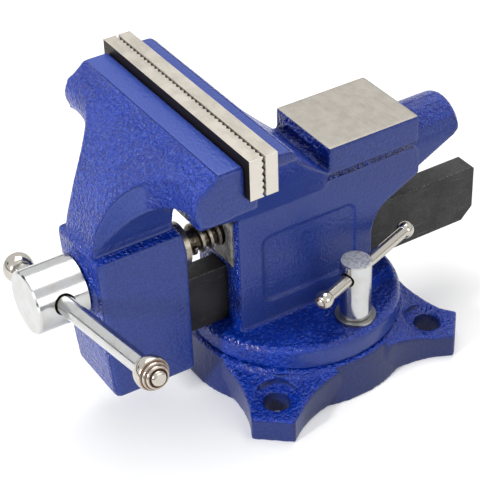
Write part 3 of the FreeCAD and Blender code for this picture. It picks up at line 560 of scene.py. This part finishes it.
# %% Raw iron
def raw_iron(name):
    finish, shader, place, _ = new_finish(name)
    sand = grain(finish, place, 0.9 * MM, 4.0)
    blot = grain(finish, place, 4 * MM, 3.0)
    tone = blend_colours(finish, mask(finish, blot, 0.4, 0.6), srgb(168, 166, 160),
                         srgb(112, 110, 106))
    tone = blend_colours(finish, mask(finish, sand, 0.5, 0.75, 0.0, 0.6), tone, srgb(204, 201, 194))
    feed(finish, shader, {"Base Color": tone, "Metallic": 0.3,
                          "Roughness": mask(finish, sand, 0.3, 0.7, 0.45, 0.75),
                          "Normal": relief(finish, sand, 0.3 * MM)})
    return finish


iron = raw_iron("raw_cast_iron")
print("hidden pieces take", iron.name)

# %% [markdown]
# ## How a corner slumps
#
# A sand casting has no sharp corners. We could bevel every edge of the CAD
# mesh, but its triangles are long and thin, and a bevel tears them. Instead we
# rebuild the shape from small even squares and let each point drift towards
# its neighbours, which leaves flats alone and slumps corners. Every point that
# hardly moved then goes back on the CAD surface, so flats and bores stay true.


# %% Relax and slump
def read(items, field, width, kind=float):
    """One field of a mesh's points or edges, as rows of numbers."""
    flat = np.zeros(len(items) * width, kind)
    items.foreach_get(field, flat)
    return flat.reshape(-1, width)


def relax(points, edges, rounds):
    """Moves each point half way to the middle of its neighbours, once a round."""
    count = np.bincount(edges.ravel(), minlength=len(points)).clip(1)[:, None]
    for _ in range(rounds):
        total = np.zeros_like(points)
        for axis in range(3):
            total[:, axis] = (np.bincount(edges[:, 0], points[edges[:, 1], axis], len(points))
                              + np.bincount(edges[:, 1], points[edges[:, 0], axis], len(points)))
        points = points + 0.5 * (total / count - points)
    return points


def slumped(points, edges, surface, square, settle, spread):
    """Points back on the CAD surface except near corners, where they settle a few rounds more.
    spread: how many points beside a corner take part close to the ground, where it shows."""
    points = relax(points, edges, 4)
    found = [surface.find_nearest(point) for point in points]
    exactly = np.array([near for near, _, _, _ in found])
    gaps = np.array([gap for _, _, _, gap in found])
    slump = ((gaps / square - 0.10) / 0.20).clip(0, 1)
    slump = relax(np.repeat(slump[:, None], 3, axis=1), edges, 3)
    points = exactly + (points - exactly) * slump
    at_foot = points[:, 2:] < 3 * MM
    corners = (slump > 0.05) | ((relax(slump, edges, spread) > 0.02) & at_foot)
    for _ in range(settle):
        points = np.where(corners, relax(points, edges, 1), points)
    return points


print("corners can slump")

# %% [markdown]
# ## Softening the castings
#
# Three castings take the slumped shape. Each is clipped to its CAD node's box,
# so no point grows past it. A fifth of the faces are then merged away, chiefly
# on the flats, where squares carry no shape. The base's foot edge stands out
# against the floor, so its corners settle longest and take their neighbours
# with them.


# %% Soften the castings
def applied(piece):
    """The mesh that a piece's modifiers make, and the modifiers are then gone."""
    graph = bpy.context.evaluated_depsgraph_get()
    mesh = bpy.data.meshes.new_from_object(piece.evaluated_get(graph), depsgraph=graph)
    piece.modifiers.clear()
    return mesh


def put_back(mesh, points, low, high):
    """Writes points into a mesh, none of them outside a box."""
    mesh.vertices.foreach_set("co", points.clip(np.array(low), np.array(high)).ravel())


def soften(node, name, square, settle, spread):
    """A casting with slumped corners that stands for a CAD node."""
    mesh = bmesh.new()
    mesh.from_mesh(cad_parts[node].data)
    bmesh.ops.remove_doubles(mesh, verts=mesh.verts, dist=1e-6)
    skin = bpy.data.meshes.new(name + "_skin")
    mesh.to_mesh(skin)
    surface = BVHTree.FromBMesh(mesh)
    mesh.free()
    piece = bpy.data.objects.new(name, skin)
    bpy.context.scene.collection.objects.link(piece)
    squares = piece.modifiers.new("squares", "REMESH")
    squares.mode, squares.voxel_size, squares.use_smooth_shade = "VOXEL", square, True
    even = applied(piece)
    low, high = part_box(node)
    points = slumped(read(even.vertices, "co", 3), read(even.edges, "vertices", 2, int),
                     surface, square, settle, spread)
    put_back(even, points, low, high)
    even.update()
    piece.data = even
    piece.modifiers.new("fewer", "DECIMATE").ratio = 0.8
    final = applied(piece)
    piece.data = final
    put_back(final, read(final.vertices, "co", 3), low, high)
    final.polygons.foreach_set("use_smooth", [True] * len(final.polygons))
    shade = piece.modifiers.new("even_shading", "WEIGHTED_NORMAL")
    shade.weight, shade.keep_sharp = 60, False
    print(name, "went from", len(points), "points to", len(final.vertices))
    return piece


SQUARE = 0.7 * MM
for node, name, body, finish, settle, spread in (
        ("swivel_base", "base_casting", "base", enamel_base, 6, 5),
        ("fixed_jaw_body", "body_casting", "turret", enamel_body, 3, 0),
        ("moving_jaw_casting", "jaw_casting", "moving_jaw", enamel, 5, 0)):
    casting = soften(node, name, SQUARE, settle, spread)
    casting.data.materials.clear()
    casting.data.materials.append(finish)
    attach(casting, body)
    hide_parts(node)

# %% [markdown]
# ## Turned ball ends
#
# The ends of the main handle are small barrels turned on a lathe, with two rings
# cut into them, and the rod is hammered flat over them to hold them on. The
# lock's small handle has plainer ends, one ball with a riveted face. We could
# start from a sphere and carve it, but a turned piece is one outline spun
# round its axis, as on the lathe. Each outline is written once, in shares of
# the end's size, and its third number says where dirt gathers.

# %% Outlines of the ends
BARREL = (   # radius, height, dirt
    (0.00, -0.80, 0), (0.58, -0.80, 0), (0.70, -0.79, 0), (0.82, -0.70, 0), (0.93, -0.48, 0),
    (0.985, -0.22, 0), (0.99, 0.00, 0), (0.95, 0.16, 0), (0.90, 0.24, 0.4), (0.84, 0.27, 1),
    (0.80, 0.25, 1), (0.785, 0.29, 1), (0.81, 0.34, 0.3), (0.81, 0.41, 0), (0.77, 0.48, 0.3),
    (0.71, 0.51, 1), (0.68, 0.49, 1), (0.665, 0.53, 1), (0.68, 0.59, 0.3), (0.65, 0.66, 0),
    (0.58, 0.70, 0.3), (0.53, 0.68, 1), (0.51, 0.60, 1), (0.48, 0.59, 1), (0.455, 0.64, 1),
    (0.44, 0.76, 0.3), (0.38, 0.85, 0), (0.26, 0.885, 0), (0.12, 0.87, 0), (0.00, 0.86, 0))
BALL = (
    (0.00, -0.80, 0), (0.50, -0.80, 0), (0.72, -0.72, 0), (0.90, -0.48, 0), (0.99, -0.12, 0),
    (0.98, 0.18, 0), (0.88, 0.46, 0), (0.72, 0.66, 0), (0.60, 0.74, 0.4), (0.54, 0.75, 1),
    (0.50, 0.74, 1), (0.46, 0.78, 0.4), (0.36, 0.86, 0), (0.18, 0.885, 0), (0.00, 0.885, 0))
HANDLE_END = 6.9 * MM
LOCK_END = 4.1 * MM
print("the barrel has", len(BARREL), "rings and the ball", len(BALL))


# %% Turned ends
def spun(name, outline, centre, axis, size, around=56):
    """Spins an outline round an axis and rounds it with one level of subdivision."""
    mesh = bmesh.new()
    grime = mesh.verts.layers.float.new("grime")
    rings = []
    for radius, height, *dirt in outline:
        if radius == 0:
            ring = [mesh.verts.new((0, 0, height * size))]
        else:
            ring = [mesh.verts.new((radius * size * math.cos(a), radius * size * math.sin(a),
                                    height * size))
                    for a in (2 * math.pi * n / around for n in range(around))]
        for point in ring:
            point[grime] = dirt[0] if dirt else 0.0
        rings.append(ring)
    for one, two in zip(rings, rings[1:]):
        for n in range(around):
            m = (n + 1) % around
            corners = [one[n % len(one)], one[m % len(one)], two[m % len(two)], two[n % len(two)]]
            mesh.faces.new(list(dict.fromkeys(corners)))
    bmesh.ops.recalc_face_normals(mesh, faces=mesh.faces)
    mesh.transform(Vector((0, 0, 1)).rotation_difference(axis).to_matrix().to_4x4())
    mesh.transform(Matrix.Translation(centre))
    data = bpy.data.meshes.new(name)
    mesh.to_mesh(data)
    mesh.free()
    data.polygons.foreach_set("use_smooth", [True] * len(data.polygons))
    piece = bpy.data.objects.new(name, data)
    bpy.context.scene.collection.objects.link(piece)
    rounding = piece.modifiers.new("rounding", "SUBSURF")
    rounding.levels = rounding.render_levels = 1
    return piece


def middle(node):
    low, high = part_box(node)
    return (low + high) / 2


for near, far, body, outline, size in (
        ("handle_knob_near", "handle_knob_far", "handle", BARREL, HANDLE_END),
        ("lock_knob_near", "lock_knob_far", "lock_handle", BALL, LOCK_END)):
    for node, other in ((near, far), (far, near)):
        outward = (middle(node) - middle(other)).normalized()
        knob = spun("turned_" + node, outline, middle(node), outward, size)
        knob.data.materials.append(plating_warm)
        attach(knob, body)
        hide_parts(node)
        print(knob.name, "turned,", len(knob.data.vertices), "points")

# %% [markdown]
# ## Polished rods
#
# Polish forgives nothing: on a mirror, the flat strips of a CAD mesh show as
# stripes. So the two handle rods are turned again from many more strips, at
# the CAD's radius, with a small chamfer at each end.


# %% Rods
def crisp(piece, degrees=32):
    """Smooth shading that breaks at real corners."""
    mesh = bmesh.new()
    mesh.from_mesh(piece.data)
    for edge in mesh.edges:
        edge.smooth = len(edge.link_faces) == 2 and edge.calc_face_angle(0) < math.radians(degrees)
    for face in mesh.faces:
        face.smooth = True
    mesh.to_mesh(piece.data)
    mesh.free()


def turned_rod(name, start, end, radius, chamfer, around=96):
    """A bar between two points with a chamfer at each end, as one closed mesh."""
    length = (end - start).length
    rim = radius - chamfer
    outline = ((0, 0), (rim, 0), (radius, chamfer), (radius, length - chamfer), (rim, length),
               (0, length))
    rod = spun(name, outline, start, (end - start).normalized(), 1.0, around)
    rod.modifiers.clear()
    crisp(rod)
    return rod


def replace_metal(piece, node, body):
    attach(piece, body)
    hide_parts(node)
    print(piece.name, "has", len(piece.data.vertices), "points")


HANDLE_ROD = 4.0 * MM   # radii
LOCK_ROD = 2.8 * MM
handle_near, handle_far = middle("handle_knob_near"), middle("handle_knob_far")
lock_near, lock_far = middle("lock_knob_near"), middle("lock_knob_far")
for node, body, near, far, radius, finish in (
        ("handle_rod", "handle", handle_near, handle_far, HANDLE_ROD, plating),
        ("lock_handle_rod", "lock_handle", lock_near, lock_far, LOCK_ROD, plating_warm)):
    rod = turned_rod("turned_" + node, near, far, radius, 0.3 * MM)
    rod.data.materials.append(finish)
    replace_metal(rod, node, body)

# %% [markdown]
# ## Screw head, turned and cross-drilled
#
# The head of the screw is a plain drum with a hole across it for the handle. We
# turn the drum and cut the hole with a boolean, as a drill would. A ring of
# faces modelled round the hole would be tidier, but the cut follows the
# handle's own slant without any sums.


# %% Screw head
def cross_drill(radius, reach, near, far, on_axis):
    """A drill along a handle, with its middle where the handle passes the axis."""
    along = (near - far).normalized()
    centre = far + along * along.dot(on_axis - far)
    return turned_rod("bore", centre - along * reach, centre + along * reach, radius, 0.1 * MM)


def drilled(piece, drill, finish, bore_shade):
    """The cut walls take the drill's own finish; a dark one paints shade in the hole."""
    for thing, its_finish in ((piece, finish), (drill, bore_shade)):
        thing.data.materials.clear()
        thing.data.materials.append(its_finish)
    cut = piece.modifiers.new("cross_hole", "BOOLEAN")
    cut.operation, cut.object, cut.solver = "DIFFERENCE", drill, "EXACT"
    cut.material_mode = "TRANSFER"
    piece.data = applied(piece)
    bpy.data.objects.remove(drill)
    crisp(piece)
    return piece


HEAD_RADIUS = 13.8 * MM
HEAD_HOLE = 4.7 * MM   # radius; the gap round the rod shows dark
head_low, head_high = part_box("screw_head")
hub_x = middle("main_screw").x
head = turned_rod("turned_screw_head", Vector((hub_x, head_high.y, SCREW_Z)),
                  Vector((hub_x, head_low.y, SCREW_Z)), HEAD_RADIUS, 0.7 * MM, 128)
drill = cross_drill(HEAD_HOLE, 30 * MM, handle_near, handle_far,
                    Vector((hub_x, handle_far.y, SCREW_Z)))
# the hole's walls take the black skin: painted shade in the hole
replace_metal(drilled(head, drill, plating, black), "screw_head", "screw")

# %% [markdown]
# ## Lock bolt
#
# The lock bolt stands in its washer, and its small handle passes through a hole
# near its top. The post is turned and drilled like the screw head. The shank
# under it carries the duller plating of the washer, so it is its own piece.

# %% Lock bolt
BOLT_RADIUS = 7.0 * MM
BOLT_HOLE = 3.5 * MM   # radius
SHANK_RADIUS = 5.0 * MM
bolt_low, bolt_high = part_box("lock_bolt")
washer = middle("lock_washer")
bolt_foot, bolt_top, shank_end = (Vector((washer.x, washer.y, z)) for z in (
    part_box("lock_washer")[1].z, bolt_high.z, bolt_low.z))
post = turned_rod("turned_lock_bolt", bolt_foot, bolt_top, BOLT_RADIUS, 0.5 * MM)
drill = cross_drill(BOLT_HOLE, 12 * MM, lock_near, lock_far,
                    Vector((washer.x, washer.y, lock_far.z)))
# the hole's walls take the black skin: painted shade in the hole
post = drilled(post, drill, plating_lock, black)
shank = turned_rod("lock_shank", shank_end, bolt_foot, SHANK_RADIUS, 0.3 * MM, 48)
shank.data.materials.append(plating_grey)
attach(shank, "lock")
replace_metal(post, "lock_bolt", "lock")

# %% [markdown]
# ## Dressing the pieces that keep their CAD shape
#
# The plates, the bar, the screw and the washers already have the right shape,
# so they only take a finish. The list below pairs each with its metal.

# %% Dress the CAD pieces
DRESS = {
    "rear_jaw_plate": steel, "front_jaw_plate": steel, "slide_bar": black, "main_screw": oily,
    "thrust_collar": oily, "collar_pin": oily, "screw_nut": iron, "lock_shoe": iron,
    "nut_pin": iron, "lock_washer": plating_grey, "pivot_bolt": plating_grey,
    "pivot_washer": plating_grey, "rear_plate_screws": plating_grey,
    "front_plate_screws": plating_grey, "bar_set_screws": plating_grey,
}
for node, finish in DRESS.items():
    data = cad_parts[node].data
    data.materials.clear()
    data.materials.append(finish)
print(len(DRESS), "CAD pieces dressed")

# %% [markdown]
# ## Floor
#
# A product table is a pale floor that ends in white. The paper glows a little,
# but only in what the camera and the mirrors see of it, so the glow adds no
# light to the vise. It is weak near the vise, where the shadow falls, and
# reaches plain white farther out, so that no horizon shows.


# %% Floor
def seen_rays(finish):
    """1 for rays that come straight from the camera or off a shiny surface."""
    return maths(finish, "MAXIMUM", add(finish, "LightPath", {}, "Is Camera Ray"),
                 add(finish, "LightPath", {}, "Is Glossy Ray"))


floor_mesh = bmesh.new()
bmesh.ops.create_grid(floor_mesh, x_segments=2, y_segments=2, size=6.0)
floor_data = bpy.data.meshes.new("floor")
floor_mesh.to_mesh(floor_data)
floor_mesh.free()
floor = bpy.data.objects.new("floor", floor_data)
floor.location.z = cad_low.z - 0.05 * MM
bpy.context.scene.collection.objects.link(floor)
paper, paper_shader, place, _ = new_finish("pale_paper")
feed(paper, paper_shader, {"Base Color": srgb(238, 237, 235), "Roughness": 0.85})
far = add(paper, "VectorMath", {0: place}, "Value", operation="LENGTH")
glow = add(paper, "Emission", {"Color": (1, 1, 1, 1),
                               "Strength": mask(paper, far, 0.30, 1.60, 0.26, 1.0)})
lift = add(paper, "MixShader", {0: seen_rays(paper), 2: glow})
both = add(paper, "AddShader", {0: paper_shader.outputs[0], 1: lift})
feed(paper, paper.node_tree.nodes["Material Output"], {"Surface": both})
floor_data.materials.append(paper)
print("floor at", round(1000 * floor.location.z, 2), "mm")

# %% [markdown]
# ## The room's light
#
# The world lights the vise from all round at a low level, faintly cool. What
# the camera and the mirrors see of it is plain white, so the picture's
# background and the sky in the plating are both clean. Two backgrounds and a
# switch between them do that.

# %% World
world = bpy.data.worlds.new("studio")
bpy.context.scene.world = world
world.use_nodes = True
room = world.node_tree.nodes["Background"]
feed(world, room, {"Color": (0.96, 0.98, 1.0, 1), "Strength": 0.42})
white = add(world, "Background", {"Color": (1, 1, 1, 1), "Strength": 1.0})
switch = maths(world, "MAXIMUM", seen_rays(world),
               add(world, "LightPath", {}, "Is Transmission Ray"))
pick = add(world, "MixShader", {0: switch, 1: room.outputs[0], 2: white})
feed(world, world.node_tree.nodes["World Output"], {"Surface": pick})
print("room light", round(room.inputs["Strength"].default_value, 2))

# %% [markdown]
# ## Lamps
#
# A large soft lamp hangs over the vise, and a weak one stands to the right of
# the camera. A small lamp at the left is harder, and it draws the shadow's edge
# and some glints on the pebbled paint; the paler pebble crests add painted
# highlights. More or stronger lamps would wash the blue out.


# %% Lamps
def aim(thing, spot, target):
    thing.location = spot
    thing.rotation_euler = (Vector(target) - Vector(spot)).to_track_quat("-Z", "Y").to_euler()
    bpy.context.scene.collection.objects.link(thing)


def soft_lamp(name, spot, side, watts):
    """A square lamp, side metres across, that looks at the vise."""
    lamp = bpy.data.lights.new(name, "AREA")
    lamp.shape, lamp.size, lamp.size_y, lamp.energy = "RECTANGLE", side, side, watts
    aim(bpy.data.objects.new(name, lamp), spot, (0, -0.01, 0.07))


soft_lamp("overhead_lamp", (-0.25, 0.15, 1.10), 0.9, 9.0)
soft_lamp("left_lamp", (0.24, -0.98, 0.50), 0.11, 7.0)
soft_lamp("right_lamp", (1.10, 0.35, 0.50), 0.7, 2.8)
print("lamps:", len(bpy.data.lights))

# %% [markdown]
# ## The dark room in the mirrors
#
# Bright metal shows whatever stands round it, and in an all-white room it would
# vanish into the paper. A dark ring stands for the room beyond the table's
# edge, with two cards above it. Only shiny surfaces see them: they draw the
# dark lines that make plating read as plating.

# %% Dark cards
card_black = bpy.data.materials.new("card_black")
card_black.use_nodes = True
feed(card_black, card_black.node_tree.nodes["Principled BSDF"],
     {"Base Color": (0.01, 0.01, 0.012, 1), "Roughness": 0.9})


def card_object(name, mesh):
    """Makes a black object of a mesh that neither the camera nor the shadows see."""
    data = bpy.data.meshes.new(name)
    mesh.to_mesh(data)
    mesh.free()
    data.materials.append(card_black)
    card = bpy.data.objects.new(name, data)
    card.visible_camera = card.visible_diffuse = card.visible_shadow = False
    return card


def dark_card(name, spot, width, height):
    mesh = bmesh.new()
    bmesh.ops.create_grid(mesh, x_segments=2, y_segments=2, size=0.5)
    bmesh.ops.scale(mesh, vec=(width, height, 1), verts=mesh.verts)
    card = card_object(name, mesh)
    aim(card, spot, (0, -0.02, 0.07))


def dark_ring(name, radius, low, high, around=48):
    mesh = bmesh.new()
    feet, heads = ([mesh.verts.new((radius * math.cos(2 * math.pi * n / around),
                                    radius * math.sin(2 * math.pi * n / around), z))
                    for n in range(around)] for z in (low, high))
    for n in range(around):
        m = (n + 1) % around
        mesh.faces.new((feet[n], feet[m], heads[m], heads[n]))
    ring = card_object(name, mesh)
    bpy.context.scene.collection.objects.link(ring)


dark_ring("table_edge", 1.30, 0.00, 0.15)
dark_card("card_high", (0.55, 0.42, 0.66), 0.08, 0.6)
dark_card("card_front", (-0.75, -0.80, 0.40), 0.30, 0.22)
print("one ring and two cards")
